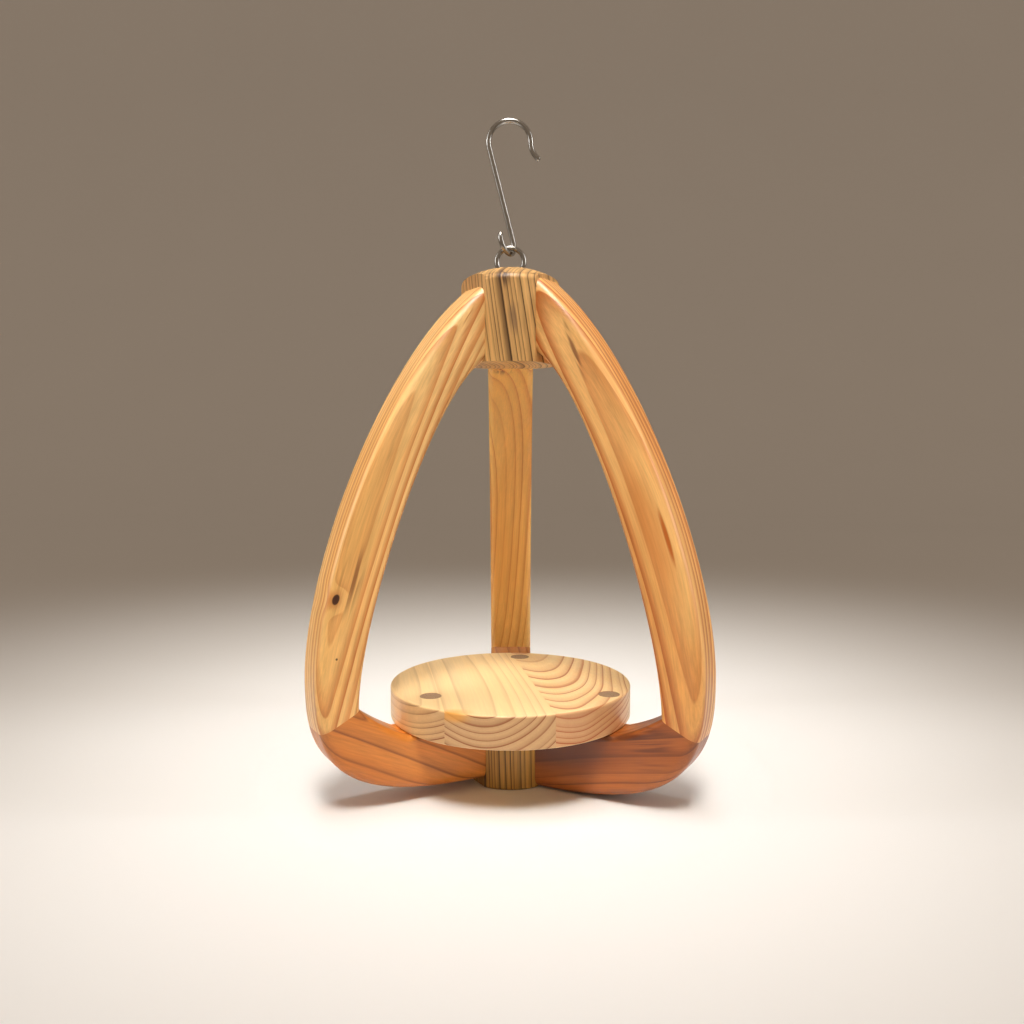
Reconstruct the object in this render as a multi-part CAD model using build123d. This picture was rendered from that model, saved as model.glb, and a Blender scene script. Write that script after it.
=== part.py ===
from build123d import *
import math
import os

# A hanging pine stand: three curved arms join a domed hub to a short post, and carry a round tray.
# Millimetres and degrees.  The floor is z = 0 and the stand's own axis is x = y = 0.

# Where each arm points, how high its head meets the hub, and how far its shaped foot clears the floor.
arm_angles = {"back": 90.0, "left": 210.0, "right": 330.0}
arm_heads = {"back": 283.0, "left": 280.4, "right": 285.4}
foot_lifts = {"back": 2.0, "left": 4.8, "right": 0.0}

# Hub and post: round blocks with a flat for each arm to butt against.
block_diameter = 56.0
flat_depth = 4.0
hub_underside = 239.4
hub_wall = 46.4
dome_height = 8.0
dome_easing = 2.5
post_chamfer = 1.0

# Arms.  A pull is how far a curve's end keeps to its direction before it bends away.
arm_thickness = 27.5
arm_reach = 120.6
belly_height = 69.0
head_depth = 41.0
back_roundover = 6.0
inner_roundover = 3.5
back_fall = 38.6
back_pulls = (64.0, 62.0)
heel_pulls = (34.5, 88.0)
inner_fall = 31.5
inner_pulls = (36.0, 44.0)
sole_reach = 28.0
mitre_inset = 22.8
mitre_height = 51.0
mitre_slope = 27.0
ramp_rise = 1.2

# Tray: three boards glued edge to edge, turned a little from front to back.
tray_diameter = 140.0
tray_thickness = 18.1
tray_easing = 1.2
seat_height = 37.5
rim_clearance = 1.0
board_turn = 9.8
board_joints = (-44.2, 12.0)

# Pegs through the tray: distance in from its rim, and share of the arm's width they stray sideways.
peg_diameter = 12.0
peg_length = 38.0
peg_side_wood = 1.75
peg_places = {"back": (11.8, -1.0), "left": (15.7, 1.0), "right": (8.0, 0.4)}

# Hidden joinery.
dowel_diameter = 8.0
dowel_length = 24.0
dowel_cover = 3.6
dowel_pitch = 12.0
tongue_thickness = 8.0
tongue_width = 14.0
tongue_length = 24.0

# Screw eye, half sunk in a round recess in the top of the hub.
eye_wire = 2.8
eye_inside = 12.6
eye_lift = 3.7
eye_shank_diameter = 3.6
eye_shank_length = 20.0
eye_point_length = 4.0
recess_clearance = 1.2
recess_floor_gap = 0.4

# S-hook: its small bow hangs in the eye, and its large bow takes the nail or branch.
hook_wire = 3.0
hook_large_bow = 12.0
hook_small_bow = 7.0
hook_lean = 14.5
hook_twist = 60.0
hook_shank = 54.7
hook_small_turn = 215.0
hook_flare_radius = 12.0
hook_flare_turn = 50.0
hook_gap = 0.42
hook_tip_easing = 1.1

# Sizes that follow from the ones above.
block_radius = block_diameter / 2
flat_distance = block_radius - flat_depth
hub_wall_top = hub_underside + hub_wall
hub_top = hub_wall_top + dome_height
tray_radius = tray_diameter / 2
tray_top = seat_height + tray_thickness
eye_radius = (eye_inside + eye_wire) / 2
eye_height = hub_top + eye_lift
eye_foot = eye_height - eye_radius - eye_wire / 2
recess_floor = eye_foot - recess_floor_gap
recess_radius = eye_radius + eye_wire / 2 + recess_clearance
eye_top = eye_height + eye_radius


def turned(solid, name):
    """Swing something made along +X round to the named arm."""
    return Rot(0, 0, arm_angles[name]) * solid


def upright(*edges):
    """Thicken an outline drawn in radius and height to an arm's full thickness."""
    outline = make_face([Plane.XZ * edge for edge in edges])
    return extrude(outline, arm_thickness / 2, both=True)


def mitre_corner(name):
    return Vector(arm_reach - mitre_inset, mitre_height + foot_lifts[name])


def downhill(slope):
    """A direction that points away from the axis and down by the given slope."""
    return Vector(math.cos(math.radians(slope)), -math.sin(math.radians(slope)))


def back_edge(name):
    """The arm's back, from its head down to the belly."""
    top = Vector(flat_distance, arm_heads[name])
    belly = Vector(arm_reach, belly_height)
    return Bezier(top, top + downhill(back_fall) * back_pulls[0], belly + Vector(0, back_pulls[1]), belly)


def heel_edge(name):
    """The arm's back, from the belly round the heel to the flat sole."""
    belly = Vector(arm_reach, belly_height)
    sole = Vector(sole_reach, foot_lifts[name])
    return Bezier(belly, belly - Vector(0, heel_pulls[0]), sole + Vector(heel_pulls[1], 0), sole)


def inner_edge(name):
    """The arm's inner side, from under its head to the inner corner of the mitre."""
    top = Vector(flat_distance, arm_heads[name] - head_depth)
    corner = mitre_corner(name)
    return Bezier(top, top + downhill(inner_fall) * inner_pulls[0], corner + Vector(0, inner_pulls[1]), corner)


def ramp_edge(name):
    """The top of the foot, from the tray's seat up to the inner corner of the mitre."""
    seat_end = Vector(tray_radius + rim_clearance, seat_height)
    return SagittaArc(seat_end, mitre_corner(name), ramp_rise)


def arm_outline(name):
    """The whole arm as one board: both edges, the foot and the two ends that meet hub and post."""
    back, heel, inner, ramp = back_edge(name), heel_edge(name), inner_edge(name), ramp_edge(name)
    seat = Line((flat_distance, seat_height), ramp @ 0)
    sole = Line(heel @ 1, (flat_distance, foot_lifts[name]))
    post_end = Line(sole @ 1, seat @ 0)
    hub_end = Line(inner @ 0, back @ 0)
    return back, heel, inner, ramp, seat, sole, post_end, hub_end


def mitre_plane(name):
    corner, along = mitre_corner(name), downhill(mitre_slope)
    return Plane(origin=(corner.X, 0, corner.Y), x_dir=(0, 1, 0), z_dir=(-along.Y, 0, along.X))


def rounded(arm, lines, roundover):
    """Round over the edges of an arm's two faces that follow the given lines of its outline."""
    def follows(edge):
        middle = edge @ 0.5
        return min(line.distance_to(Vector(middle.X, middle.Z)) for line in lines) < 0.01

    return fillet([edge for edge in arm.faces().filter_by(Axis.Y).edges() if follows(edge)], roundover)


def dowel_heights(lowest, highest):
    """Two dowels, a set distance apart, in the middle of the wood that is free to take them."""
    middle = (lowest + highest) / 2
    return {"lower": middle - dowel_pitch / 2, "upper": middle + dowel_pitch / 2}


def hub_dowel_heights():
    lowest = max(arm_heads.values()) - head_depth + dowel_cover
    return dowel_heights(lowest, lowest + dowel_pitch + dowel_diameter)


def post_dowel_heights():
    return dowel_heights(max(foot_lifts.values()), seat_height)


def dowel(height):
    """A dowel along an arm, half in the block and half in the arm."""
    return Pos(flat_distance, 0, height) * Rot(0, 90, 0) * Cylinder(dowel_diameter / 2, dowel_length)


def tongue(name):
    """A loose tongue across the mitre, centred in the arm."""
    corner, along = mitre_corner(name), downhill(mitre_slope)
    middle = corner + along * (mitre_inset / 2)
    across = Plane(origin=(middle.X, 0, middle.Y), x_dir=(along.X, 0, along.Y), z_dir=(-along.Y, 0, along.X))
    return extrude(across * SlotOverall(tongue_width, tongue_thickness), tongue_length / 2, both=True)


def peg(name):
    """A peg down through the tray into the foot of an arm, flush with the tray's top."""
    inset, stray = peg_places[name]
    side_room = (arm_thickness - peg_diameter) / 2 - peg_side_wood
    place = Pos(tray_radius - inset, stray * side_room, tray_top - peg_length / 2)
    return turned(place * Cylinder(peg_diameter / 2, peg_length), name)


def arm(name):
    """One arm's upper and lower halves, cut apart at the mitre and bored for dowels and tongue."""
    plane = mitre_plane(name)
    outline = arm_outline(name)
    back, heel, inner, ramp, seat, sole = outline[:6]
    board = upright(*outline)
    upper, lower = split(board, plane, keep=Keep.TOP), split(board, plane, keep=Keep.BOTTOM)
    upper = rounded(rounded(upper, (back, heel), back_roundover), (inner,), inner_roundover)
    lower = rounded(rounded(lower, (heel, sole), back_roundover), (ramp, seat), inner_roundover)
    for height in hub_dowel_heights().values():
        upper -= dowel(height)
    for height in post_dowel_heights().values():
        lower -= dowel(height)
    upper -= tongue(name)
    lower -= tongue(name)
    return turned(upper, name), turned(lower, name) - peg(name)


def flatted(block, heights):
    """Cut the arms' flats on a round block, and bore each of them for its dowels."""
    depth = arm_reach
    for name in arm_angles:
        side = Box(depth, depth, depth * 6, align=(Align.MIN, Align.CENTER, Align.CENTER))
        block -= turned(Pos(flat_distance, 0, 0) * side, name)
        for height in heights.values():
            block -= turned(dowel(height), name)
    return block


def hub():
    """The domed block at the top, with the recess and pilot hole for the screw eye."""
    rise = (block_radius**2 + dome_height**2) / (2 * dome_height)
    half_angle = math.asin(block_radius / rise) / 2
    crown = (rise * math.sin(half_angle), hub_top - rise * (1 - math.cos(half_angle)))
    dome = ThreePointArc((block_radius, hub_wall_top), crown, (0, hub_top))
    sides = Polyline((0, hub_top), (0, hub_underside), (block_radius, hub_underside), dome @ 0)
    block = revolve(make_face([*(Plane.XZ * dome).edges(), *(Plane.XZ * sides).edges()]), Axis.Z)
    shoulder = [edge for edge in block.edges().filter_by(GeomType.CIRCLE)
                if abs(edge.arc_center.Z - hub_wall_top) < 0.01]
    block = fillet(shoulder, dome_easing)
    block = flatted(block, hub_dowel_heights())
    recess = Cylinder(recess_radius, dome_height, align=(Align.CENTER, Align.CENTER, Align.MIN))
    return block - Pos(0, 0, recess_floor) * recess - eye_shank()


def post():
    """The short block at the bottom, which the tray sits on."""
    block = Cylinder(block_radius, seat_height, align=(Align.CENTER, Align.CENTER, Align.MIN))
    block = chamfer(block.edges().group_by(Axis.Z)[0], post_chamfer)
    return flatted(block, post_dowel_heights())


def tray_boards():
    """The tray's disc, bored for its pegs and divided along the two glue lines."""
    disc = Pos(0, 0, seat_height + tray_thickness / 2) * Cylinder(tray_radius, tray_thickness)
    disc = fillet(disc.edges().filter_by(GeomType.CIRCLE), tray_easing)
    for name in arm_angles:
        disc -= peg(name)
    across = Vector(1, 0, 0).rotate(Axis.Z, board_turn)
    left_joint, right_joint = (Plane(origin=across * place, z_dir=across) for place in board_joints)
    left = split(disc, left_joint, keep=Keep.BOTTOM)
    centre = split(split(disc, left_joint, keep=Keep.TOP), right_joint, keep=Keep.BOTTOM)
    right = split(disc, right_joint, keep=Keep.TOP)
    return {"left": left, "centre": centre, "right": right}


def eye_shank():
    """The screw eye's shank, its thread taken as a plain cylinder, with a drawn-out point."""
    top = eye_foot + eye_wire / 2
    stem_length = eye_shank_length - eye_point_length + eye_wire / 2
    stem = Pos(0, 0, top) * Cylinder(
        eye_shank_diameter / 2, stem_length, align=(Align.CENTER, Align.CENTER, Align.MAX))
    point = Pos(0, 0, top - stem_length) * Cone(
        eye_wire / 10, eye_shank_diameter / 2, eye_point_length, align=(Align.CENTER, Align.CENTER, Align.MAX))
    return stem + point


def screw_eye():
    ring = Pos(0, 0, eye_height) * Rot(90, 0, 0) * Torus(eye_radius, eye_wire / 2)
    return ring + eye_shank()


def s_hook():
    """A wire of two bows in planes that are twisted apart about the straight shank between them."""
    lean, twist = math.radians(hook_lean), math.radians(hook_twist)
    shank = Vector(-math.sin(lean), 0, math.cos(lean))
    square = Vector(math.cos(lean), 0, math.sin(lean))
    outward = square * math.cos(twist) + Vector(0, math.sin(twist), 0)
    crossing = Vector(0, 0, eye_top - (eye_wire + hook_wire) / 2 - hook_gap)
    centre = crossing + shank * hook_small_bow
    start = centre + outward * hook_small_bow

    small_plane = Plane(origin=start, x_dir=outward, z_dir=outward.cross(shank))
    small_bow = small_plane * JernArc((0, 0), (0, -1), hook_small_bow, -hook_small_turn)
    straight = Line(start, start + shank * hook_shank)
    large_plane = Plane(origin=straight @ 1, x_dir=(1, 0, 0), z_dir=(0, -1, 0))
    over = JernArc((0, 0), (shank.X, shank.Z), hook_large_bow, -(180 + hook_lean))
    flare = JernArc(over @ 1, over % 1, hook_flare_radius, hook_flare_turn)
    path = Wire([small_bow.edge(), straight.edge(), (large_plane * over).edge(), (large_plane * flare).edge()])
    section = Plane(origin=path @ 0, z_dir=path % 0) * Circle(hook_wire / 2)
    wire = sweep(section, path)
    tips = [edge for edge in wire.edges().filter_by(GeomType.CIRCLE)
            if min((edge.arc_center - path @ t).length for t in (0, 1)) < 0.01]
    return fillet(tips, hook_tip_easing)


def pieces():
    """Every piece of the stand, by name."""
    made = {"top_hub": hub(), "bottom_post": post(), "screw_eye": screw_eye(), "s_hook": s_hook()}
    for board, solid in tray_boards().items():
        made[f"tray_board_{board}"] = solid
    for name in arm_angles:
        made[f"upper_arm_{name}"], made[f"lower_arm_{name}"] = arm(name)
        made[f"tray_peg_{name}"] = peg(name)
        made[f"mitre_tongue_{name}"] = turned(tongue(name), name)
        for place, height in hub_dowel_heights().items():
            made[f"hub_dowel_{name}_{place}"] = turned(dowel(height), name)
        for place, height in post_dowel_heights().items():
            made[f"post_dowel_{name}_{place}"] = turned(dowel(height), name)
    return made


os.makedirs("parts", exist_ok=True)
for node, solid in pieces().items():
    export_step(solid, f"parts/{node}.step")
    print(node, round(solid.volume), "mm3")
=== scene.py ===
import bpy
import math
from mathutils import Euler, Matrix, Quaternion, Vector


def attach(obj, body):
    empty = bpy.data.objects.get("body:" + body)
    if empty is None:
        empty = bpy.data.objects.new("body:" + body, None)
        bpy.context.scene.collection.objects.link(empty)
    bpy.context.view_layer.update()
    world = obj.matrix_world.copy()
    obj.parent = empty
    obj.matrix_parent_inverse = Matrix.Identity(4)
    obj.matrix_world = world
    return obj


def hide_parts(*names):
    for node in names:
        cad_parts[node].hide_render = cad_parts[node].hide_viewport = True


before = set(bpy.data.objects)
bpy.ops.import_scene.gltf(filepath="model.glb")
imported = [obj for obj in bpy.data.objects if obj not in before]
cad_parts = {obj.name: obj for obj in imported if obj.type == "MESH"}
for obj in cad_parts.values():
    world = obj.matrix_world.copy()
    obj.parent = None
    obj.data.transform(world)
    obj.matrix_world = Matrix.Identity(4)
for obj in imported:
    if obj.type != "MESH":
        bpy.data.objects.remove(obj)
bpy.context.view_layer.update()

# A hanging pine stand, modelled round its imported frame.  Metres; the floor is z = 0.
mm = 0.001
nearEnough = 0.01 * mm   # two places closer than this are the same
armAngles = {"back": 90, "left": 210, "right": 330}
armHeads = {"back": 283.0 * mm, "left": 280.4 * mm, "right": 285.4 * mm}
footLifts = {"back": 2.0 * mm, "left": 4.8 * mm, "right": 0.0}
block = {"radius": 28 * mm, "flat": 24 * mm, "hubUnderside": 239.4 * mm, "hubWallTop": 285.8 * mm,
         "domeHeight": 8.0 * mm, "domeEasing": 2.5 * mm, "easingRounds": 6, "domeRings": 12, "sides": 144,
         "easing": 0.5 * mm, "footChamfer": 1.0 * mm}


# Working as by hand, in code.
def dropSelection():
    if bpy.context.mode != "OBJECT":
        bpy.ops.object.mode_set(mode="OBJECT")
    bpy.ops.object.select_all(action="DESELECT")


def pickUp(piece):
    dropSelection()
    piece.select_set(True)
    bpy.context.view_layer.objects.active = piece


def settle(piece):   # the piece's place and turn go into its mesh
    pickUp(piece)
    bpy.ops.object.transform_apply(location=True, rotation=True, scale=True)
    return piece


def newPiece(name, addPrimitive, **settings):
    dropSelection()
    addPrimitive(**settings)
    piece = bpy.context.active_object
    piece.name = name
    piece.data.name = name
    return settle(piece)


def pickPart(piece, kind, test):   # go into edit mode with what passes the test selected
    pickUp(piece)
    mesh = piece.data
    for group in (mesh.vertices, mesh.edges, mesh.polygons):
        group.foreach_set("select", [False] * len(group))
    if kind == "VERT":
        for vertex in mesh.vertices:
            vertex.select = test(vertex.co)
    if kind == "EDGE":
        for edge in mesh.edges:
            edge.select = test(*(mesh.vertices[i].co for i in edge.vertices))
    if kind == "FACE":
        for face in mesh.polygons:
            face.select = test(face.center, face.normal)
    bpy.context.tool_settings.mesh_select_mode = (kind == "VERT", kind == "EDGE", kind == "FACE")
    bpy.ops.object.mode_set(mode="EDIT")


def everything(*spots):
    return True


def leaveEdit():
    bpy.ops.object.mode_set(mode="OBJECT")


def addModifier(piece, kind, **settings):
    pickUp(piece)
    modifier = piece.modifiers.new(kind.title(), kind)
    for key, value in settings.items():
        setattr(modifier, key, value)
    bpy.ops.object.modifier_apply(modifier=modifier.name)


def easeEdges(piece, width, segments=3, angle=28):   # round over whatever is sharper than the angle
    addModifier(piece, "BEVEL", width=width, segments=segments, limit_method="ANGLE",
                angle_limit=math.radians(angle), miter_outer="MITER_ARC")


def tidySurface(piece, angle=35):   # merge doubles, turn faces outwards, shade softly
    pickPart(piece, "VERT", everything)
    bpy.ops.mesh.remove_doubles(threshold=0.002 * mm)
    bpy.ops.mesh.normals_make_consistent(inside=False)
    leaveEdit()
    pickUp(piece)
    bpy.ops.object.shade_smooth_by_angle(angle=math.radians(angle))
    addModifier(piece, "WEIGHTED_NORMAL", keep_sharp=True)


def sliceOff(piece, place, facing):   # saw away what lies beyond a plane
    pickPart(piece, "VERT", everything)
    bpy.ops.mesh.bisect(plane_co=place, plane_no=facing, clear_outer=True, use_fill=True,
                        threshold=0.0005 * mm)
    leaveEdit()


def finishPiece(piece, body, slot, material, *nodes):
    piece.data.materials.clear()
    piece.data.materials.append(material)
    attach(piece, body)
    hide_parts(*nodes)
    return piece


def bezier(points, share):
    start, first, second, end = points
    rest = 1 - share
    return (start * rest ** 3 + first * 3 * rest ** 2 * share
            + second * 3 * rest * share ** 2 + end * share ** 3)


def onArm(name, reach, side, height):   # a place in millimetres, out along an arm, across it and up
    turn = math.radians(armAngles[name])
    return Vector((reach * math.cos(turn) - side * math.sin(turn),
                   reach * math.sin(turn) + side * math.cos(turn), height)) * mm


# Materials.
def paint(red, green, blue):   # a colour as it is mixed on screen, 0 to 255
    def straight(level):
        level = level / 255
        return level / 12.92 if level <= 0.04045 else ((level + 0.055) / 1.055) ** 2.4
    return (straight(red), straight(green), straight(blue), 1.0)


def addNode(tree, kind, inputs=None, **settings):
    new = tree.nodes.new(kind)
    for key, value in settings.items():
        setattr(new, key, value)
    for key, value in (inputs or {}).items():
        if isinstance(value, bpy.types.NodeSocket):
            tree.links.new(value, new.inputs[key])
        else:
            new.inputs[key].default_value = value
    return new


def sums(tree, operation, first, second=0.0, third=0.0, clamp=False):
    return addNode(tree, "ShaderNodeMath", {0: first, 1: second, 2: third},
                   operation=operation, use_clamp=clamp).outputs[0]


def spans(tree, operation, first, second=(0, 0, 0)):
    new = addNode(tree, "ShaderNodeVectorMath", {0: first, 1: second}, operation=operation)
    return new.outputs["Value"] if operation in ("LENGTH", "DISTANCE", "DOT_PRODUCT") else new.outputs[0]


def stops(tree, factor, places):
    ramp = addNode(tree, "ShaderNodeValToRGB", {0: factor})
    while len(ramp.color_ramp.elements) < len(places):
        ramp.color_ramp.elements.new(0.5)
    for element, (place, level) in zip(ramp.color_ramp.elements, places):
        element.position = place
        element.color = (level, level, level, 1)
    return ramp.outputs["Color"]


def ranged(tree, value, low, high, bottom=0.0, top=1.0, smooth=True):
    return addNode(tree, "ShaderNodeMapRange", {0: value, 1: low, 2: high, 3: bottom, 4: top},
                   interpolation_type="SMOOTHSTEP" if smooth else "LINEAR").outputs[0]


def blended(tree, factor, first, second, way="MIX"):
    new = addNode(tree, "ShaderNodeMix", {0: factor}, data_type="RGBA", blend_type=way)
    for socket, value in ((new.inputs[6], first), (new.inputs[7], second)):
        if isinstance(value, bpy.types.NodeSocket):
            tree.links.new(value, socket)
        else:
            socket.default_value = value
    return new.outputs[2]


def noise(tree, where, scale, detail=2.0, rough=0.5, size="3D"):
    key = "W" if size == "1D" else "Vector"
    settings = {key: where, "Scale": scale, "Detail": detail, "Roughness": rough}
    return addNode(tree, "ShaderNodeTexNoise", settings, noise_dimensions=size).outputs[0]


def newMaterial(name):
    material = bpy.data.materials.new(name)
    material.use_nodes = True
    return material, material.node_tree, material.node_tree.nodes["Principled BSDF"]


def feed(tree, shader, colour, roughness, bump):
    tree.links.new(colour, shader.inputs["Base Color"])
    tree.links.new(roughness, shader.inputs["Roughness"])
    tree.links.new(bump.outputs[0], shader.inputs["Normal"])


# Every piece of pine is cut from a log of its own.  The log's z runs up its pith: pith is a place on it,
# and grain turns the log to lie along the piece.  Bow bends the pith, and crowd narrows the outer rings.
pineDefaults = {
    "early": (226, 172, 102), "late": (182, 112, 50), "stain": (204, 138, 68), "deep": (150, 84, 34),
    "stainAmount": 0.35, "pith": Vector((0, 0, 0)), "grain": (0, 0, 0), "bow": (0.0, 0.0), "crowd": 0.0,
    "ring": 4.5 * mm, "wander": 9 * mm, "wanderScale": 11, "lateAmount": 0.75, "sharpness": 0.74,
    "fibre": 0.14, "faceFigure": 1.0, "endDark": 0.12, "rough": 0.42, "coat": 0.3, "relief": 0.10,
    "knots": (), "localColourAndPaintedShade": (), "pinholes": ()}
knotDepth = 5 * mm
pinholeTone = (84, 52, 30)
figureScales = {"fibre": 1100, "fine": 430, "streak": 190, "broad": 24}


def logTurn(look):   # how the log is turned to lie along the piece
    return Euler([math.radians(angle) for angle in look["grain"]])


def intoLog(look, spot):   # a place on the piece, in its log's own frame
    return logTurn(look).to_matrix().inverted() @ (spot - look["pith"])


def nearness(tree, log, centre, size):   # 0 at the centre of a stretched ball, 1 at its skin
    away = spans(tree, "SUBTRACT", log, tuple(centre))
    return spans(tree, "LENGTH", spans(tree, "DIVIDE", away, size))


def pine(name, **changes):
    look = {**pineDefaults, **changes}
    wood, tree, shader = newMaterial(name)
    spot = addNode(tree, "ShaderNodeTexCoord").outputs["Object"]
    log = addNode(tree, "ShaderNodeMapping", {
        "Vector": spot, "Location": look["pith"], "Rotation": tuple(logTurn(look))},
                  vector_type="TEXTURE").outputs[0]

    # The pith wanders and bows.
    drift = addNode(tree, "ShaderNodeTexNoise", {
        "Vector": spans(tree, "MULTIPLY", log, (1, 1, 0.35)), "Scale": look["wanderScale"],
        "Detail": 1.5, "Roughness": 0.45}).outputs["Color"]
    reach = look["wander"] * 2
    drift = spans(tree, "MULTIPLY", spans(tree, "SUBTRACT", drift, (0.5, 0.5, 0.5)), (reach, reach, 0))
    bent = spans(tree, "ADD", log, drift)
    if any(look["bow"]):
        length = addNode(tree, "ShaderNodeSeparateXYZ", {0: log}).outputs["Z"]
        square = sums(tree, "MULTIPLY", length, length)
        offset = addNode(tree, "ShaderNodeCombineXYZ", {
            axis: sums(tree, "MULTIPLY", square, bow) for axis, bow in enumerate(look["bow"])}).outputs[0]
        bent = spans(tree, "ADD", bent, offset)
    radius = spans(tree, "LENGTH", spans(tree, "MULTIPLY", bent, (1, 1, 0)))

    # Rings swell round a knot.
    for knot in look["knots"]:
        centre = intoLog(look, knot["at"])
        width, length = knot["size"]
        far = nearness(tree, log, centre, (width * 4.5, 1, length * 4.5))
        bulge = ranged(tree, far, 1.0, 0.0, 0.0, knot["push"])
        radius = sums(tree, "ADD", radius, bulge)

    rings = sums(tree, "DIVIDE", radius, look["ring"])
    if look["crowd"]:
        crowding = sums(tree, "POWER", sums(tree, "DIVIDE", radius, look["crowd"]), 2.0)
        rings = sums(tree, "ADD", rings, crowding)
    unevenness = noise(tree, rings, 0.45, detail=1.0, size="1D")
    rings = sums(tree, "ADD", rings, sums(tree, "MULTIPLY", unevenness, 1.5))
    lateWood = stops(tree, sums(tree, "FRACT", rings), (
        (0.0, 0.10), (0.35, 0.03), (look["sharpness"], 0.35), (0.93, 1.0), (0.99, 0.12)))
    perRing = addNode(tree, "ShaderNodeTexWhiteNoise", {"W": sums(tree, "FLOOR", rings)},
                      noise_dimensions="1D").outputs["Value"]
    amount = ranged(tree, perRing, 0, 1, 0.45 * look["lateAmount"], look["lateAmount"], smooth=False)
    lateness = sums(tree, "MULTIPLY", lateWood, amount, clamp=True)

    # End grain drinks more finish, so its rings are darker than those on a face.
    grainWay = logTurn(look).to_matrix() @ Vector((0, 0, 1))
    facing = addNode(tree, "ShaderNodeNewGeometry").outputs["Normal"]
    endness = sums(tree, "ABSOLUTE", spans(tree, "DOT_PRODUCT", facing, tuple(grainWay)))
    figure = ranged(tree, endness, 0.25, 0.8, look["faceFigure"], 1.0)
    lateness = sums(tree, "MULTIPLY", lateness, figure)

    # Fibres are long thin streaks, and the stain is broad and uneven.
    along = spans(tree, "MULTIPLY", bent, (1, 1, 0.035))
    fibre = noise(tree, along, figureScales["fibre"], detail=3.0, rough=0.6)
    streak = noise(tree, along, figureScales["streak"])
    fine = noise(tree, along, figureScales["fine"])
    broad = noise(tree, spans(tree, "MULTIPLY", log, (1, 1, 0.22)), figureScales["broad"])
    colour = blended(tree, lateness, paint(*look["early"]), paint(*look["late"]))
    stained = blended(tree, lateness, paint(*look["stain"]), paint(*look["deep"]))
    colour = blended(tree, ranged(tree, broad, 0.40, 0.66, 0.0, look["stainAmount"]), colour, stained)
    mixed = sums(tree, "ADD", sums(tree, "MULTIPLY", fibre, 0.6), sums(tree, "MULTIPLY", streak, 0.4))
    tone = ranged(tree, mixed, 0.30, 0.70, 1 - look["fibre"], 1 + look["fibre"] * 0.5, smooth=False)
    grey = addNode(tree, "ShaderNodeCombineColor", {0: tone, 1: tone, 2: tone}).outputs[0]
    colour = blended(tree, 1.0, colour, grey, "MULTIPLY")
    endShade = ranged(tree, endness, 0.3, 0.9, 0.0, look["endDark"])
    colour = blended(tree, endShade, colour, paint(*look["deep"]))

    # Local colour: heartwood, smudges, knots and pinholes, and some patches of painted shade and painted
    # shadow.
    for patch in look["localColourAndPaintedShade"]:
        far = nearness(tree, log, intoLog(look, patch["at"]), patch["size"])
        cover = ranged(tree, far, 1.0, 0.25, 0.0, patch["amount"])
        if patch.get("streaky"):
            cover = sums(tree, "MULTIPLY", cover, ranged(tree, fine, 0.44, 0.60))
        colour = blended(tree, cover, colour, paint(*patch["tone"]))
    for knot in look["knots"]:
        centre = intoLog(look, knot["at"])
        width, length = knot["size"]
        far = nearness(tree, log, centre, (width, knotDepth, length))
        halo = ranged(tree, far, 2.6, 0.9, 0.0, 0.55)
        colour = blended(tree, halo, colour, paint(*knot["halo"]))
        colour = blended(tree, ranged(tree, far, 1.12, 0.82, 0.0, 0.95), colour, paint(*knot["tone"]))
    for hole in look["pinholes"]:
        far = spans(tree, "DISTANCE", spot, tuple(hole["at"]))
        cover = ranged(tree, far, hole["size"], hole["size"] * 0.5, 0.0, 0.9)
        colour = blended(tree, cover, colour, paint(*pinholeTone))

    height = sums(tree, "ADD", sums(tree, "MULTIPLY", fibre, 0.6), sums(tree, "MULTIPLY", lateness, 0.4))
    bump = addNode(tree, "ShaderNodeBump", {
        "Strength": look["relief"], "Distance": 0.3 * mm, "Height": height})
    roughness = ranged(tree, streak, 0.3, 0.7, look["rough"] - 0.07, look["rough"] + 0.09, smooth=False)
    feed(tree, shader, colour, roughness, bump)
    shader.inputs["IOR"].default_value = 1.46
    shader.inputs["Coat Weight"].default_value = look["coat"]
    shader.inputs["Coat Roughness"].default_value = 0.24
    return wood


def polishedSteel():
    metal, tree, shader = newMaterial("polished_steel")
    spot = addNode(tree, "ShaderNodeTexCoord").outputs["Object"]
    cloud = noise(tree, spot, 160, detail=3.0)
    scratch = noise(tree, spans(tree, "MULTIPLY", spot, (1, 1, 0.12)), 2600)
    bump = addNode(tree, "ShaderNodeBump", {"Strength": 0.04, "Distance": 0.05 * mm, "Height": scratch})
    colour = blended(tree, cloud, paint(190, 188, 184), paint(150, 148, 144))
    feed(tree, shader, colour, ranged(tree, scratch, 0.2, 0.8, 0.10, 0.22, smooth=False), bump)
    shader.inputs["Metallic"].default_value = 1.0
    return metal


def beech():   # the hidden dowels and tongues
    wood, tree, shader = newMaterial("joint_beech_grain")
    spot = addNode(tree, "ShaderNodeTexCoord").outputs["Object"]
    fleck = noise(tree, spans(tree, "MULTIPLY", spot, (1, 1, 0.2)), 900, detail=3.0)
    cloud = noise(tree, spot, 60)
    colour = blended(tree, ranged(tree, fleck, 0.35, 0.65), paint(214, 172, 126), paint(186, 138, 92))
    colour = blended(tree, sums(tree, "MULTIPLY", cloud, 0.4), colour, paint(200, 150, 108))
    bump = addNode(tree, "ShaderNodeBump", {"Strength": 0.1, "Distance": 0.2 * mm, "Height": fleck})
    feed(tree, shader, colour, ranged(tree, fleck, 0.3, 0.7, 0.5, 0.65), bump)
    return wood


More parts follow.
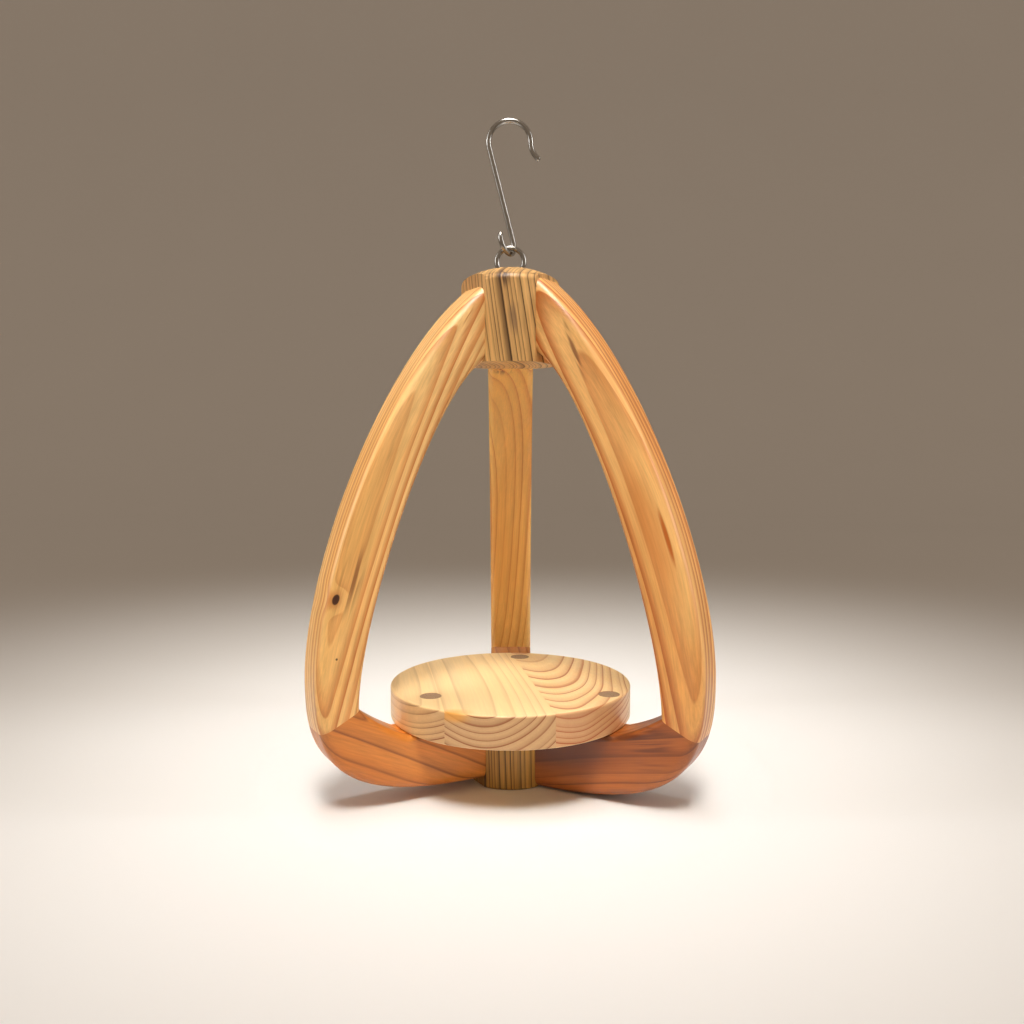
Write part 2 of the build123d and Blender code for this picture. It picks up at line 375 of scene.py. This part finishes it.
# Arms.  Places on an arm are in radius and height, as if it pointed along x.
armShape = {
    "thickness": 27.5 * mm, "reach": 120.6 * mm, "belly": 69.0 * mm, "seat": 37.5 * mm,
    "seatEnd": 71.0 * mm, "sole": 28.0 * mm, "backFall": 38.6, "backPulls": (64 * mm, 62 * mm),
    "heelPulls": (34.5 * mm, 88 * mm),
    "innerFall": 31.5, "innerPulls": (36 * mm, 44 * mm), "mitreInset": 22.8 * mm, "mitreHeight": 51 * mm,
    "mitreSlope": 27, "rampRise": 1.2 * mm, "headDepth": 41 * mm, "backRoundover": 6.0 * mm,
    "innerRoundover": 3.5 * mm, "rounds": 7,
    "upperStations": 44, "heelStations": 6, "rampStations": 12, "seatStations": 10}


def downhill(slope):   # a direction out from the axis and down
    return Vector((math.cos(math.radians(slope)), -math.sin(math.radians(slope))))


def backCurve(name):
    top = Vector((block["flat"], armHeads[name]))
    belly = Vector((armShape["reach"], armShape["belly"]))
    near, far = armShape["backPulls"]
    return top, top + downhill(armShape["backFall"]) * near, belly + Vector((0, far)), belly


def heelCurve(name):
    belly = Vector((armShape["reach"], armShape["belly"]))
    sole = Vector((armShape["sole"], footLifts[name]))
    near, far = armShape["heelPulls"]
    return belly, belly - Vector((0, near)), sole + Vector((far, 0)), sole


def mitreCorner(name):
    return Vector((armShape["reach"] - armShape["mitreInset"], armShape["mitreHeight"] + footLifts[name]))


def innerCurve(name):
    top = Vector((block["flat"], armHeads[name] - armShape["headDepth"]))
    corner = mitreCorner(name)
    near, far = armShape["innerPulls"]
    return top, top + downhill(armShape["innerFall"]) * near, corner + Vector((0, far)), corner


def heelShareAtMitre(name):   # how far round the heel the mitre comes out
    corner, along = mitreCorner(name), downhill(armShape["mitreSlope"])
    low, high = 0.0, 0.9
    for halving in range(30):
        middle = (low + high) / 2
        gap = bezier(heelCurve(name), middle) - corner
        if gap.y * along.x - gap.x * along.y > 0:
            low = middle
        else:
            high = middle
    return low


def upperSections(name):   # pairs of inner and outer places, from the hub to the mitre
    backCount, heelCount = armShape["upperStations"] - armShape["heelStations"], armShape["heelStations"]
    outers = [bezier(backCurve(name), step / backCount) for step in range(backCount)]
    turn = heelShareAtMitre(name)
    outers += [bezier(heelCurve(name), turn * step / heelCount) for step in range(heelCount + 1)]
    last = len(outers) - 1
    return [(bezier(innerCurve(name), step / last), outer) for step, outer in enumerate(outers)]


def lowerSections(name):   # from the mitre down the ramp, then along the seat to the post
    corner, seatEnd = mitreCorner(name), Vector((armShape["seatEnd"], armShape["seat"]))
    chord = corner - seatEnd
    across = Vector((-chord.y, chord.x)).normalized() * armShape["rampRise"] * 4
    rampCount, seatCount = armShape["rampStations"], armShape["seatStations"]
    shares = [1 - step / rampCount for step in range(rampCount + 1)]
    inners = [seatEnd + chord * share - across * share * (1 - share) for share in shares]
    postEnd = Vector((block["flat"], armShape["seat"]))
    inners += [seatEnd.lerp(postEnd, step / seatCount) for step in range(1, seatCount + 1)]
    start, last = heelShareAtMitre(name), len(inners) - 1
    outers = [bezier(heelCurve(name), start + (1 - start) * step / (last - 1)) for step in range(last)]
    return list(zip(inners, outers + [Vector((block["flat"], footLifts[name]))]))


def drawOut(pieceName, sections):
    # A face as large as the first section is extruded station by station, moved, turned and scaled.
    inner, outer = sections[0]
    middle, span = (inner + outer) / 2, outer - inner
    piece = newPiece(pieceName, bpy.ops.mesh.primitive_plane_add, size=1)
    pickPart(piece, "VERT", everything)
    bpy.ops.transform.resize(value=(span.length, armShape["thickness"], 1))
    bpy.ops.transform.rotate(value=span.angle_signed(Vector((1, 0))), orient_axis="Y", orient_type="GLOBAL",
                             center_override=(0, 0, 0))
    bpy.ops.transform.translate(value=(middle.x, 0, middle.y))
    for (oldInner, oldOuter), (inner, outer) in zip(sections, sections[1:]):
        oldSpan, span = oldOuter - oldInner, outer - inner
        shift = (inner + outer - oldInner - oldOuter) / 2
        centre = ((inner + outer).x / 2, 0, (inner + outer).y / 2)
        grow = span.length / oldSpan.length
        bpy.ops.mesh.extrude_region_move(TRANSFORM_OT_translate={"value": (shift.x, 0, shift.y)})
        bpy.ops.transform.rotate(value=span.angle_signed(oldSpan), orient_axis="Y", orient_type="GLOBAL",
                                 center_override=centre)
        bpy.ops.transform.resize(value=(grow, 1, grow), center_override=centre)
    leaveEdit()
    return piece


def roundLongEdges(piece, line, radius):   # those that join one station of an edge line to the next
    def onLine(spot):
        return min((Vector((spot.x, spot.z)) - place).length for place in line) < nearEnough

    def isLong(first, second):
        return abs(first.y - second.y) < nearEnough and onLine(first) and onLine(second)

    pickPart(piece, "EDGE", isLong)
    bpy.ops.mesh.bevel(offset=radius, offset_type="OFFSET", segments=armShape["rounds"], profile=0.5,
                       affect="EDGES", clamp_overlap=False)
    leaveEdit()


def makeArm(name, half, sections, material):
    piece = drawOut(f"{half}_arm_{name}_board", sections)
    roundLongEdges(piece, [outer for inner, outer in sections], armShape["backRoundover"])
    roundLongEdges(piece, [inner for inner, outer in sections], armShape["innerRoundover"])
    piece.rotation_euler.z = math.radians(armAngles[name])
    settle(piece)
    tidySurface(piece)
    slot = "arm_pine" if half == "upper" else "foot_pine"
    return finishPiece(piece, "frame", slot, material, f"{half}_arm_{name}")


upperLooks = {
    "left": {
        "early": (250, 206, 136), "late": (200, 110, 36), "stain": (236, 178, 96), "deep": (186, 98, 30),
        "pith": onArm("left", 99, 27.5, 158), "grain": (0, -21.5, 210), "bow": (0.9, -0.4),
        "ring": 3.9 * mm, "wander": 7 * mm, "lateAmount": 0.95, "stainAmount": 0.7, "sharpness": 0.5,
        "fibre": 0.24,
        "knots": [{"at": onArm("left", 110.2, 13.75, 115.4), "size": (1.7 * mm, 2.9 * mm), "push": 4 * mm,
                   "tone": (58, 26, 20), "halo": (190, 118, 58)}],
        "pinholes": [{"at": onArm("left", 110.4, 13.75, 84.6), "size": 0.8 * mm}],
        "localColourAndPaintedShade": [
            {"at": onArm("left", 102, 14, 124), "size": (8 * mm, 7 * mm, 24 * mm), "tone": (136, 84, 44),
             "amount": 0.8, "streaky": True},
            {"at": onArm("left", 34, 14, 262), "size": (3 * mm, 6 * mm, 13 * mm), "tone": (176, 96, 36),
             "amount": 0.8, "streaky": True}]},
    "right": {
        "early": (246, 192, 118), "late": (190, 98, 32), "stain": (226, 154, 74), "deep": (174, 86, 26),
        "pith": onArm("right", 99, -26, 152), "grain": (0, -21.2, 330), "bow": (1.1, 0.6), "ring": 4.6 * mm,
        "wander": 7 * mm, "lateAmount": 1.2, "stainAmount": 0.7, "sharpness": 0.5, "fibre": 0.24,
        "localColourAndPaintedShade": [
            {"at": onArm("right", 47, -14, 245), "size": (2 * mm, 6 * mm, 22 * mm), "tone": (128, 76, 42),
             "amount": 0.85, "streaky": True},
            {"at": onArm("right", 92, -14, 150), "size": (9 * mm, 9 * mm, 60 * mm), "tone": (208, 124, 46),
             "amount": 0.55}]},
    "back": {
        "early": (250, 198, 108), "late": (206, 116, 36), "stain": (232, 158, 62), "deep": (186, 94, 24),
        "pith": onArm("back", 86, 22, 140), "grain": (4, -17, 90), "ring": 4.6 * mm, "wander": 5 * mm,
        "lateAmount": 0.85, "stainAmount": 0.55, "fibre": 0.17,
        "localColourAndPaintedShade": [
            # painted shadow: dark red at the top of the back arm's inner face, where the hub's underside
            # shades it
            {"at": onArm("back", 28, 5, 240), "size": (7 * mm, 9 * mm, 6 * mm), "tone": (110, 50, 20),
             "amount": 0.85, "streaky": True}]}}
lowerLooks = {
    "left": {
        "early": (228, 144, 58), "late": (112, 48, 10), "stain": (196, 108, 30), "deep": (98, 38, 8),
        "pith": onArm("left", 60, 60, 60), "grain": (0, 68, 210), "ring": 6.0 * mm, "wander": 11 * mm,
        "lateAmount": 0.95, "stainAmount": 0.7, "sharpness": 0.84, "fibre": 0.22},
    "right": {
        "early": (186, 104, 38), "late": (80, 30, 6), "stain": (134, 62, 14), "deep": (58, 22, 4),
        "pith": onArm("right", 60, -55, 70), "grain": (0, 80, 330), "ring": 5.5 * mm, "wander": 10 * mm,
        "lateAmount": 0.85, "stainAmount": 0.8, "fibre": 0.24,
        "localColourAndPaintedShade": [
            # painted shade: a dark band near the mitre, broken up by the fibre streaks, where the tray
            # shades the arm
            {"at": onArm("right", 92, -14, 40), "size": (24 * mm, 12 * mm, 18 * mm), "tone": (84, 34, 14),
             "amount": 0.7, "streaky": True},
            # painted shadow: the tray's shadow darkens the inner end of the arm, under the tray
            {"at": onArm("right", 40, -12, 28), "size": (22 * mm, 22 * mm, 50 * mm), "tone": (72, 24, 6),
             "amount": 0.8}]},
    "back": {
        "early": (206, 138, 68), "late": (132, 70, 26), "stain": (184, 108, 46), "deep": (114, 56, 20),
        "pith": onArm("back", 40, -50, 66), "grain": (0, 74, 90), "ring": 5.5 * mm, "lateAmount": 0.85}}

print("arms")
for name in armAngles:
    makeArm(name, "upper", upperSections(name), pine(f"upper_{name}_pine", **upperLooks[name]))
    makeArm(name, "lower", lowerSections(name), pine(f"lower_{name}_pine", **lowerLooks[name]))


# Hub: a round block whose top is inset into a dome, with a recess and a pilot hole for the screw eye.
screwEye = {"wire": 2.8 * mm, "inside": 12.6 * mm, "lift": 3.7 * mm, "shank": 3.6 * mm, "length": 20 * mm,
            "point": 4 * mm, "recessRoom": 1.2 * mm, "floorGap": 0.4 * mm,
            "open": 8, "sides": 24, "threadDepth": 0.25 * mm, "pitch": 1.6 * mm, "turnSteps": 8,
            "smoothSteps": 6}
hubTop = block["hubWallTop"] + block["domeHeight"]
eyeRing = (screwEye["inside"] + screwEye["wire"]) / 2
eyeHeight = hubTop + screwEye["lift"]
eyeFoot = eyeHeight - eyeRing - screwEye["wire"] / 2
recessFloor = eyeFoot - screwEye["floorGap"]
recessRadius = eyeRing + screwEye["wire"] / 2 + screwEye["recessRoom"]

hubLook = {
    "early": (238, 188, 118), "late": (70, 38, 16), "stain": (204, 150, 90), "deep": (60, 34, 16),
    "pith": Vector((-80, 6, 260)) * mm, "grain": (0, -7, 0), "ring": 2.7 * mm, "wander": 6 * mm,
    "lateAmount": 1.4, "sharpness": 0.76, "fibre": 0.36, "stainAmount": 0.7, "rough": 0.5, "coat": 0.15,
    "relief": 0.25,
    "localColourAndPaintedShade": [{"at": Vector((-4, -28, 285)) * mm, "size": (5 * mm, 8 * mm, 9 * mm), "tone": (84, 60, 46),
                 "amount": 0.9, "streaky": True},
                {"at": Vector((3, -28, 262)) * mm, "size": (6 * mm, 8 * mm, 12 * mm), "tone": (112, 84, 66),
                 "amount": 0.6, "streaky": True}]}
postLook = {
    "early": (214, 166, 78), "late": (48, 26, 8), "stain": (172, 118, 44), "deep": (42, 22, 8),
    "pith": Vector((-70, 20, 0)) * mm, "grain": (0, 1, 0), "ring": 2.3 * mm, "wander": 7 * mm,
    "lateAmount": 1.4, "sharpness": 0.66, "fibre": 0.34, "stainAmount": 0.5, "rough": 0.5, "coat": 0.15,
    "relief": 0.2}


def isTopCap(height):
    return lambda spot, facing: facing.z > 0.9 and abs(spot.z - height) < nearEnough


def stepUp(rise, grow):   # extrude what is selected straight up and scale it about the axis
    bpy.ops.mesh.extrude_region_move(TRANSFORM_OT_translate={"value": (0, 0, rise)})
    bpy.ops.transform.resize(value=(grow, grow, 1), center_override=(0, 0, 0))


def cutFlats(piece):
    for angle in armAngles.values():
        facing = Vector((math.cos(math.radians(angle)), math.sin(math.radians(angle)), 0))
        sliceOff(piece, facing * block["flat"], facing)


def makeHub():
    wall = block["hubWallTop"] - block["hubUnderside"]
    piece = newPiece("hub_block", bpy.ops.mesh.primitive_cylinder_add, vertices=block["sides"],
                     radius=block["radius"], depth=wall, location=(0, 0, block["hubUnderside"] + wall / 2))
    ball = (block["radius"] ** 2 + block["domeHeight"] ** 2) / (2 * block["domeHeight"])
    steepest, flattest = math.asin(block["radius"] / ball), math.asin(recessRadius / ball)
    pickPart(piece, "FACE", isTopCap(block["hubWallTop"]))
    width, height = block["radius"], block["hubWallTop"]
    for step in range(1, block["domeRings"] + 1):
        slope = steepest + (flattest - steepest) * step / block["domeRings"]
        newWidth, newHeight = ball * math.sin(slope), hubTop - ball * (1 - math.cos(slope))
        stepUp(newHeight - height, newWidth / width)
        width, height = newWidth, newHeight
    stepUp(recessFloor - height, 1)
    stepUp(0, screwEye["shank"] / 2 / recessRadius)
    stepUp(-screwEye["length"], 0.9)
    leaveEdit()
    pickPart(piece, "EDGE", lambda first, second: all(
        abs(spot.z - block["hubWallTop"]) < nearEnough and spot.xy.length > block["radius"] - nearEnough
        for spot in (first, second)))
    bpy.ops.mesh.bevel(offset=block["domeEasing"], segments=block["easingRounds"], affect="EDGES")
    leaveEdit()
    cutFlats(piece)
    easeEdges(piece, block["easing"])
    tidySurface(piece)
    return finishPiece(piece, "frame", "hub_pine", pine("hub_pine_grain", **hubLook), "top_hub")


def makePost():
    height = armShape["seat"]
    piece = newPiece("post_block", bpy.ops.mesh.primitive_cylinder_add, vertices=block["sides"],
                     radius=block["radius"], depth=height, location=(0, 0, height / 2))
    pickPart(piece, "FACE", lambda spot, facing: facing.z < -0.9)
    bpy.ops.mesh.inset(thickness=block["footChamfer"])
    leaveEdit()
    pickPart(piece, "EDGE", lambda first, second: max(first.z, second.z) < nearEnough
             and min(first.xy.length, second.xy.length) > block["radius"] - nearEnough)
    bpy.ops.transform.translate(value=(0, 0, block["footChamfer"]))
    leaveEdit()
    cutFlats(piece)
    easeEdges(piece, block["easing"] / 2)
    tidySurface(piece)
    return finishPiece(piece, "frame", "post_pine", pine("post_pine_grain", **postLook), "bottom_post")


print("hub and post")
makeHub()
makePost()


# Tray: one disc with eased rims, bored for its pegs and sawn into three boards along the glue lines.
tray = {"diameter": 140 * mm, "thickness": 18.1 * mm, "easing": 1.2 * mm, "rounds": 5, "sides": 256,
        "turn": 9.8, "joints": (-44.2 * mm, 12.0 * mm), "glueEasing": 0.12 * mm, "holeRoom": 0.06 * mm}
peg = {"diameter": 12 * mm, "length": 38 * mm, "sideWood": 1.75 * mm, "sides": 64, "easing": 0.4 * mm,
       "places": {"back": (11.8 * mm, -1.0), "left": (15.7 * mm, 1.0), "right": (8.0 * mm, 0.4)}}
trayTop = armShape["seat"] + tray["thickness"]
acrossBoards = Vector((math.cos(math.radians(tray["turn"])), math.sin(math.radians(tray["turn"])), 0))


def inTray(across, height):   # a place in millimetres, over the boards and up
    return (acrossBoards * across + Vector((0, 0, height))) * mm


boardLooks = {
    "left": {"pith": inTray(-70, 88), "grain": (-91, 0, tray["turn"]), "ring": 3.6 * mm},
    "centre": {"pith": inTray(-27, 78), "grain": (-90.5, 0, tray["turn"]), "ring": 4.0 * mm,
               "localColourAndPaintedShade": [{"at": Vector((-31, -64, 54)) * mm, "size": (15 * mm, 5 * mm, 10 * mm),
                            "tone": (232, 164, 70), "amount": 0.8}]},
    "right": {"pith": inTray(18, 88), "grain": (-106, 0, tray["turn"]), "ring": 7.0 * mm, "crowd": 27 * mm,
              "late": (186, 88, 32), "deep": (166, 74, 26), "faceFigure": 0.9, "wander": 15 * mm}}
boardTones = {
    "early": (252, 220, 164), "late": (128, 60, 18), "stain": (246, 202, 132), "deep": (150, 78, 22),
    "wander": 6 * mm, "fibre": 0.1, "lateAmount": 1.2, "faceFigure": 0.28, "endDark": 0.5,
    "sharpness": 0.78, "rough": 0.45, "coat": 0.2}


def pegPlace(name):
    inset, stray = peg["places"][name]
    sideRoom = (armShape["thickness"] - peg["diameter"]) / 2 - peg["sideWood"]
    return onArm(name, (tray["diameter"] / 2 - inset) / mm, stray * sideRoom / mm, 0)


def boreHole(piece, place, radius):
    middle = place + Vector((0, 0, trayTop - tray["thickness"] / 2))
    drill = newPiece("drill", bpy.ops.mesh.primitive_cylinder_add, vertices=peg["sides"], radius=radius,
                     depth=tray["thickness"] * 2, location=middle)
    addModifier(piece, "BOOLEAN", operation="DIFFERENCE", object=drill, solver="EXACT")
    bpy.data.objects.remove(drill)


def makeBoard(name, nearJoint, farJoint):
    piece = newPiece(f"tray_board_{name}_wood", bpy.ops.mesh.primitive_cylinder_add, vertices=tray["sides"],
                     radius=tray["diameter"] / 2, depth=tray["thickness"],
                     location=(0, 0, trayTop - tray["thickness"] / 2))
    addModifier(piece, "BEVEL", width=tray["easing"], segments=tray["rounds"], limit_method="ANGLE",
                angle_limit=math.radians(40))
    for pegName in peg["places"]:
        boreHole(piece, pegPlace(pegName), peg["diameter"] / 2 + tray["holeRoom"])
    if nearJoint is not None:
        sliceOff(piece, acrossBoards * nearJoint, -acrossBoards)
    if farJoint is not None:
        sliceOff(piece, acrossBoards * farJoint, acrossBoards)
    easeEdges(piece, tray["glueEasing"], segments=1, angle=60)
    tidySurface(piece)
    look = {**boardTones, **boardLooks[name]}
    return finishPiece(piece, "frame", "tray_pine", pine(f"tray_{name}_pine", **look), f"tray_board_{name}")


def pegWood():   # end grain: fine pores and faint close rings
    wood, tree, shader = newMaterial("peg_end_grain")
    spot = addNode(tree, "ShaderNodeTexCoord").outputs["Object"]
    pores = noise(tree, spans(tree, "MULTIPLY", spot, (1, 1, 0.05)), 1500, detail=3.0, rough=0.7)
    cloud = noise(tree, spans(tree, "MULTIPLY", spot, (1, 1, 0.2)), 190)
    colour = blended(tree, ranged(tree, pores, 0.35, 0.65), paint(178, 146, 112), paint(136, 106, 80))
    colour = blended(tree, sums(tree, "MULTIPLY", cloud, 0.7), colour, paint(150, 122, 98))
    bump = addNode(tree, "ShaderNodeBump", {"Strength": 0.2, "Distance": 0.2 * mm, "Height": pores})
    feed(tree, shader, colour, ranged(tree, pores, 0.3, 0.7, 0.5, 0.65), bump)
    shader.inputs["Coat Weight"].default_value = 0.15
    return wood


def makePegs():
    wood = pegWood()
    first = newPiece("peg_pattern", bpy.ops.mesh.primitive_cylinder_add, vertices=peg["sides"],
                     radius=peg["diameter"] / 2, depth=peg["length"],
                     location=(0, 0, trayTop - peg["length"] / 2))
    easeEdges(first, peg["easing"], angle=40)
    for name in peg["places"]:
        pickUp(first)
        bpy.ops.object.duplicate()
        piece = bpy.context.active_object
        piece.name = piece.data.name = f"peg_{name}"
        piece.location = pegPlace(name)
        settle(piece)
        tidySurface(piece)
        finishPiece(piece, "frame", "peg_dowel", wood, f"tray_peg_{name}")
    bpy.data.objects.remove(first)


print("tray and pegs")
nearJoint, farJoint = tray["joints"]
makeBoard("left", None, nearJoint)
makeBoard("centre", nearJoint, farJoint)
makeBoard("right", farJoint, None)
makePegs()


# Wire work: a round end is selected, and bent or drawn out from there.
def swung(vector, axis, degrees):
    return Quaternion(axis, math.radians(degrees)) @ vector


def wireEnd(name, place, facing, radius, sides):   # a round cap, selected in edit mode
    turn = facing.to_track_quat("Z", "Y").to_euler()
    piece = newPiece(name, bpy.ops.mesh.primitive_circle_add, vertices=sides, radius=radius,
                     fill_type="NGON", location=place, rotation=turn)
    pickPart(piece, "FACE", everything)
    return piece


def bendRound(centre, axis, turn, stepTurn=3.5):
    steps = max(4, round(abs(turn) / stepTurn))
    bpy.ops.mesh.spin(steps=steps, angle=math.radians(turn), center=centre, axis=axis)


def drawTo(shift, grow=1.0, centre=(0, 0, 0)):
    bpy.ops.mesh.extrude_region_move(TRANSFORM_OT_translate={"value": shift})
    bpy.ops.transform.resize(value=(grow, grow, grow), center_override=centre)


def roundTip(place, direction, radius, easing, rings=5):
    width, gone = radius, 0.0
    for ring in range(1, rings + 1):
        slope = math.pi / 2 * ring / rings
        newWidth = radius - easing * (1 - math.cos(slope))
        newGone = easing * math.sin(slope)
        drawTo(direction * (newGone - gone), newWidth / width, place + direction * newGone)
        width, gone = newWidth, newGone


def makeScrewEye(material):
    # The ring starts over the shank and stops just short of closing.
    # The thread is a round that is off centre, twisted as it is drawn down.
    radius = screwEye["wire"] / 2
    foot = Vector((0, 0, eyeHeight - eyeRing))
    ring = wireEnd("eye_ring", foot, Vector((1, 0, 0)), radius, screwEye["sides"])
    bendRound((0, 0, eyeHeight), (0, 1, 0), -(360 - screwEye["open"]))
    leaveEdit()
    core = screwEye["shank"] / 2 - screwEye["threadDepth"]
    piece = wireEnd("eye_wire", foot, Vector((0, 0, -1)), core, screwEye["sides"])
    drop = screwEye["pitch"] / screwEye["turnSteps"]
    steps = round((screwEye["length"] - screwEye["point"]) / drop)
    height = foot.z
    for step in range(steps):
        height -= drop
        drawTo((0, 0, -drop))
        if step == screwEye["smoothSteps"]:
            bpy.ops.transform.translate(value=(screwEye["threadDepth"], 0, 0))
        if step > screwEye["smoothSteps"]:
            bpy.ops.transform.rotate(value=math.tau / screwEye["turnSteps"], orient_axis="Z",
                                     center_override=(0, 0, height))
    pointSteps = round(screwEye["point"] / drop)
    for step in range(pointSteps):
        height -= drop
        left = 1 - step / pointSteps
        drawTo((0, 0, -drop), (left - 0.9 / pointSteps) / left, (0, 0, height))
        bpy.ops.transform.rotate(value=math.tau / screwEye["turnSteps"], orient_axis="Z",
                                 center_override=(0, 0, height))
    leaveEdit()
    pickUp(piece)
    ring.select_set(True)
    bpy.ops.object.join()
    tidySurface(piece)
    return finishPiece(piece, "frame", "steel_wire", material, "screw_eye")


hook = {"wire": 3.0 * mm, "largeBow": 12 * mm, "smallBow": 7 * mm, "lean": 14.5, "twist": 60,
        "shank": 54.7 * mm, "smallTurn": 215, "flareBow": 12 * mm, "flareTurn": 50, "gap": 0.42 * mm,
        "tipEasing": 1.1 * mm, "sides": 28}


def makeHook(material):
    lean, twist = math.radians(hook["lean"]), math.radians(hook["twist"])
    along = Vector((-math.sin(lean), 0, math.cos(lean)))
    square = Vector((math.cos(lean), 0, math.sin(lean)))
    outward = square * math.cos(twist) + Vector((0, math.sin(twist), 0))
    crossing = Vector((0, 0, eyeHeight + eyeRing - (screwEye["wire"] + hook["wire"]) / 2 - hook["gap"]))
    smallCentre = crossing + along * hook["smallBow"]
    start = smallCentre + outward * hook["smallBow"]
    radius = hook["wire"] / 2

    # Up the shank, over the large bow and out along the flare.
    piece = wireEnd("hook_wire", start, along, radius, hook["sides"])
    drawTo(along * hook["shank"])
    bendAxis = Vector((0, 1, 0))
    shankEnd = start + along * hook["shank"]
    largeCentre = shankEnd + square * hook["largeBow"]
    largeTurn = 180 + hook["lean"]
    bendRound(largeCentre, bendAxis, -largeTurn)
    bowEnd = largeCentre + swung(shankEnd - largeCentre, bendAxis, largeTurn)
    flareCentre = bowEnd + (bowEnd - largeCentre).normalized() * hook["flareBow"]
    bendRound(flareCentre, bendAxis, hook["flareTurn"])
    tip = flareCentre + swung(bowEnd - flareCentre, bendAxis, -hook["flareTurn"])
    tipDirection = swung(swung(along, bendAxis, largeTurn), bendAxis, -hook["flareTurn"])
    roundTip(tip, tipDirection, radius, hook["tipEasing"])
    leaveEdit()

    # Back to the foot of the shank, and round the small bow.
    pickPart(piece, "FACE", lambda spot, facing: (spot - start).length < nearEnough)
    bowAxis = outward.cross(along)
    bendRound(smallCentre, bowAxis, hook["smallTurn"])
    smallTip = smallCentre + swung(start - smallCentre, bowAxis, -hook["smallTurn"])
    roundTip(smallTip, swung(-along, bowAxis, -hook["smallTurn"]), radius, hook["tipEasing"])
    leaveEdit()
    tidySurface(piece)
    return finishPiece(piece, "hook", "steel_wire", material, "s_hook")


print("metal")
steel = polishedSteel()
makeScrewEye(steel)
makeHook(steel)

print("hidden joinery")
jointBeech = beech()
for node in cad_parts:
    if node.startswith(("hub_dowel_", "post_dowel_", "mitre_tongue_")):
        slots = bpy.data.objects[node].data.materials
        slots.clear()
        slots.append(jointBeech)


# The studio: a pale floor curving up into a wall far behind, a lamp overhead, a soft fill and two strips.
studio = {"width": 9.0, "front": -3.5, "back": 1.7, "cove": 1.7, "wall": 3.0, "coveSteps": 40,
          "lamp": (-0.14, 0.05, 2.0), "lampAim": (0.0, 0.02, 0.0), "lampPower": 64, "lampCone": 11.6,
          "lampWiden": 1.9, "lampSize": 0.23, "lampTone": (0.93, 0.97, 1.0),
          "fillPower": 1.65, "fillPlace": (0.0, -0.68, 1.75), "fillSize": 0.7, "fillSpread": 26,
          "fillTone": (1, 0.95, 0.88),
          "stripPower": 0.30, "stripPlace": (0.8, -0.1, 0.6), "stripSize": (0.14, 0.9), "stripSpread": 50,
          "room": (0.315, 0.244, 0.182), "roomStrength": 1.0}
viewpoint = {"place": (0.0009, -0.5144, 0.1950), "tilt": 85.56, "lens": 31.25, "sensor": 36,
             "nearest": 0.01}


def makeStage():
    floor = newPiece("studio_floor", bpy.ops.mesh.primitive_plane_add, size=1)
    pickPart(floor, "VERT", everything)
    depth = studio["back"] - studio["front"]
    bpy.ops.transform.resize(value=(studio["width"], depth, 1))
    bpy.ops.transform.translate(value=(0, studio["front"] + depth / 2, 0))
    leaveEdit()
    pickPart(floor, "EDGE", lambda first, second: min(first.y, second.y) > studio["back"] - 0.01)
    bpy.ops.mesh.spin(steps=studio["coveSteps"], angle=math.radians(-90), axis=(1, 0, 0),
                      center=(0, studio["back"], studio["cove"]))
    bpy.ops.mesh.extrude_region_move(TRANSFORM_OT_translate={"value": (0, 0, studio["wall"])})
    leaveEdit()
    pickUp(floor)
    bpy.ops.object.shade_smooth()
    paper, tree, shader = newMaterial("studio_paper")
    spot = addNode(tree, "ShaderNodeTexCoord").outputs["Object"]
    tree.links.new(blended(tree, noise(tree, spot, 3), (0.80, 0.80, 0.80, 1), (0.78, 0.78, 0.78, 1)),
                   shader.inputs["Base Color"])
    shader.inputs["Roughness"].default_value = 0.8
    floor.data.materials.append(paper)


def makeLight(name, kind, place, aim, **settings):
    light = bpy.data.lights.new(name, kind)
    for key, value in settings.items():
        setattr(light, key, value)
    holder = bpy.data.objects.new(name, light)
    holder.location = place
    holder.rotation_euler = (Vector(aim) - Vector(place)).to_track_quat("-Z", "Y").to_euler()
    bpy.context.scene.collection.objects.link(holder)
    return holder


def makeStudio():
    makeStage()
    lamp = makeLight("lamp_overhead", "SPOT", studio["lamp"], studio["lampAim"], energy=studio["lampPower"],
                     spot_size=math.radians(studio["lampCone"]), spot_blend=1.0,
                     shadow_soft_size=studio["lampSize"], color=studio["lampTone"])
    lamp.scale.x = studio["lampWiden"]   # a pool of light that is wider than it is deep
    makeLight("fill_front", "AREA", studio["fillPlace"], (0, 0, 0.17), energy=studio["fillPower"],
              size=studio["fillSize"], spread=math.radians(studio["fillSpread"]),
              color=studio["fillTone"])
    across, deep, high = studio["stripPlace"]
    for name, side in (("strip_left", -1), ("strip_right", 1)):
        strip = makeLight(name, "AREA", (side * across, deep, high), (0, 0, 0.30),
                          energy=studio["stripPower"], spread=math.radians(studio["stripSpread"]),
                          shape="RECTANGLE", size=studio["stripSize"][0], size_y=studio["stripSize"][1])
        strip.visible_camera = False
    world = bpy.data.worlds.new("studio_room")
    bpy.context.scene.world = world
    world.use_nodes = True
    air = world.node_tree.nodes["Background"]
    air.inputs["Color"].default_value = (*studio["room"], 1)
    air.inputs["Strength"].default_value = studio["roomStrength"]
    bpy.context.scene.view_settings.view_transform = "Standard"


def makeCamera():
    camera = bpy.data.cameras.new("camera")
    camera.sensor_width = viewpoint["sensor"]
    camera.lens = viewpoint["lens"]
    camera.clip_start = viewpoint["nearest"]
    holder = bpy.data.objects.new("camera", camera)
    holder.location = viewpoint["place"]
    holder.rotation_euler = (math.radians(viewpoint["tilt"]), 0, 0)
    bpy.context.scene.collection.objects.link(holder)
    bpy.context.scene.camera = holder


print("studio")
makeStudio()
makeCamera()
